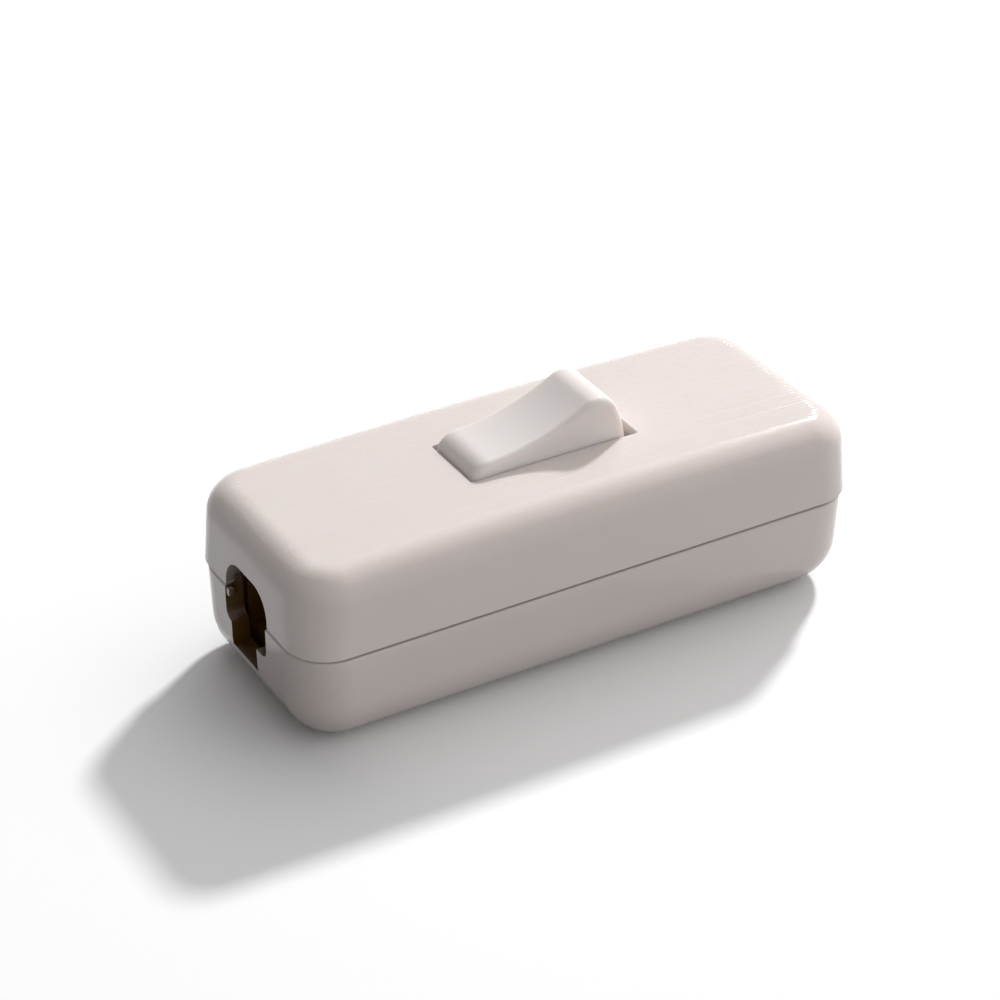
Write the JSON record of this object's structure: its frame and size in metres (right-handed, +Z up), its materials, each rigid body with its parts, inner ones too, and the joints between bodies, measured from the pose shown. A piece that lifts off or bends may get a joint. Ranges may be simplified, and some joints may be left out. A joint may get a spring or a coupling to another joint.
{
  "type": "inline cord switch",
  "caption": "Two-part moulded case with a tilting rocker in its top and a cord entry in each end, for switching a lamp from its cord.",
  "frame": {"origin": "middle of the base's underside", "axes": "+X along the cord, +Y across the case, +Z up through the rocker"},
  "size_m": [0.06, 0.024, 0.0237],
  "materials": {
    "case_plastic": "moulded satin, fine lengthwise lines on the top",
    "rocker_plastic": "moulded semi-gloss",
    "plunger_nylon": "moulded natural nylon",
    "spring_steel": "drawn wire",
    "lever_brass": "stamped strip",
    "terminal_brass": "milled and stamped",
    "contact_silver": "pressed silver alloy",
    "zinc_steel": "zinc plated",
    "grip_plastic": "moulded matt"
  },
  "bodies": {
    "case": {"top_cover": "case_plastic", "base": "case_plastic", "common_terminal": "terminal_brass", "switched_terminal": "terminal_brass", "fixed_contact": "contact_silver", "neutral_bar": "terminal_brass", "common_terminal_screw": "zinc_steel", "switched_terminal_screw": "zinc_steel", "neutral_screw_in": "zinc_steel", "neutral_screw_out": "zinc_steel", "cord_grip_left": "grip_plastic", "cord_grip_right": "grip_plastic", "cord_grip_screws_left": "zinc_steel", "cord_grip_screws_right": "zinc_steel", "case_screw_left": "zinc_steel", "case_screw_right": "zinc_steel"},
    "rocker": {"rocker": "rocker_plastic", "plunger_spring": "spring_steel"},
    "plunger": {"plunger": "plunger_nylon"},
    "contact_lever": {"contact_lever": "lever_brass", "lever_contact": "contact_silver"}
  },
  "joints": [
    {"name": "rocker_tilt", "type": "hinge", "parent": "case", "child": "rocker", "pos_m": [0.0005, 0, 0.0164], "axis": [0, 1, 0], "range_deg": [0, 32]},
    {"name": "contact_tilt", "type": "hinge", "parent": "case", "child": "contact_lever", "pos_m": [0.0005, 0, 0.0085], "axis": [0, 1, 0], "range_deg": [-17.12, 0]},
    {"name": "plunger_slide", "type": "slide", "parent": "rocker", "child": "plunger", "axis": [-0.2756, 0, 0.9613], "range_m": [0, 0.0006], "stiffness_N_per_m": 600, "springref_m": -0.002, "deforming": ["plunger_spring"]}
  ],
  "couplings": [
    {"joint": "contact_tilt", "follows": "rocker_tilt", "ratio": -0.535}
  ]
}
